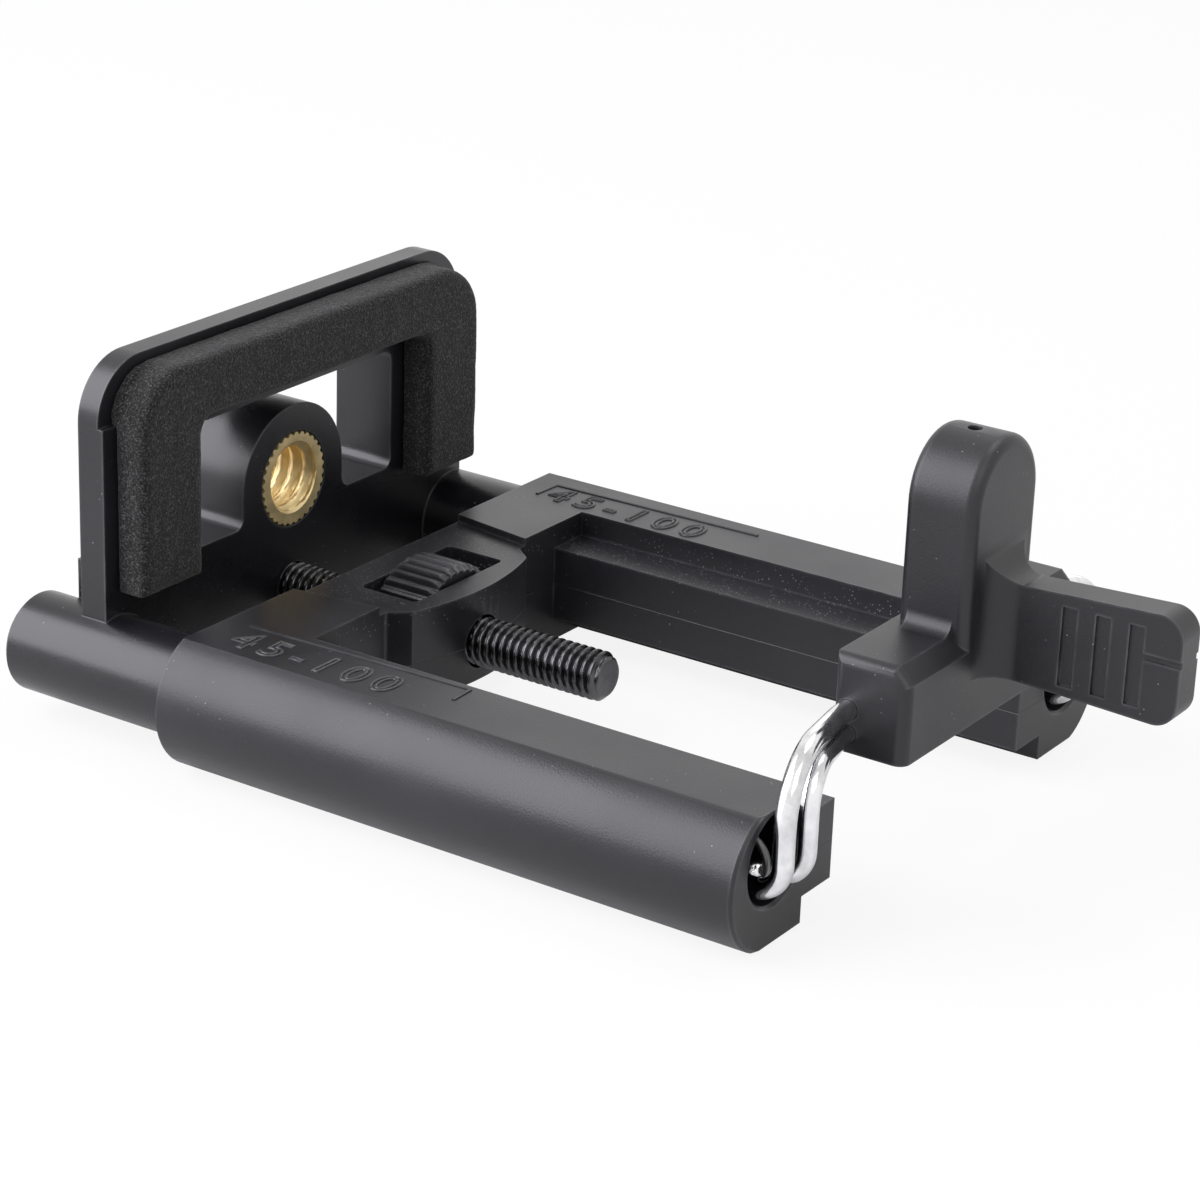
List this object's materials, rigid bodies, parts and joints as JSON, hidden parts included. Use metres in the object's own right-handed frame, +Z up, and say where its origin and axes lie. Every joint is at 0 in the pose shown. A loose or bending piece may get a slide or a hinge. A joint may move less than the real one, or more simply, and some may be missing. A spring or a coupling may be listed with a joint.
{
  "type": "tripod phone mount adapter",
  "caption": "Tripod adapter for a phone: a screw-set jaw with a foam pad and a tripod thread, and a sprung wire clip on a two-tube frame.",
  "frame": {"origin": "centre of the brass tripod bush, on the mid-plane", "axes": "+X along the tubes from the jaw to the clip, +Y across the tubes, +Z up, the way the jaw and the finger stand"},
  "size_m": [0.0875, 0.0544, 0.0327],
  "materials": {
    "frame_plastic": "satin moulded black",
    "jaw_plastic": "satin moulded black",
    "clip_plastic": "satin moulded black",
    "wheel_plastic": "ribbed moulded black",
    "brass": "turned and knurled",
    "foam": "fine open foam",
    "black_steel": "black oxide",
    "chrome_wire": "bright",
    "spring_steel": "bright drawn"
  },
  "bodies": {
    "frame": {"frame": "frame_plastic", "spring_pins": "spring_steel", "spring_near": "spring_steel", "spring_far": "spring_steel"},
    "thumbwheel": {"thumbwheel": "wheel_plastic"},
    "jaw": {"jaw": "jaw_plastic", "jaw_pad": "foam", "thread_insert": "brass", "adjusting_screw": "black_steel"},
    "clip": {"clip": "clip_plastic", "wire_loop": "chrome_wire"}
  },
  "joints": [
    {"name": "thumbwheel_spin", "type": "hinge", "parent": "frame", "child": "thumbwheel", "pos_m": [0.01705, 0, -0.00925], "axis": [1, 0, 0], "range_deg": [-4371.9, 6686.2]},
    {"name": "jaw_slide", "type": "slide", "parent": "frame", "child": "jaw", "axis": [1, 0, 0], "range_m": [-0.013, 0.0085]},
    {"name": "clip_pull", "type": "slide", "parent": "frame", "child": "clip", "axis": [1, 0, 0], "range_m": [0, 0.032], "stiffness_N_per_m": 600, "springref_m": -0.01, "deforming": ["spring_near", "spring_far"]}
  ],
  "couplings": [
    {"joint": "thumbwheel_spin", "follows": "jaw_slide", "rad_per_m": -8976}
  ]
}
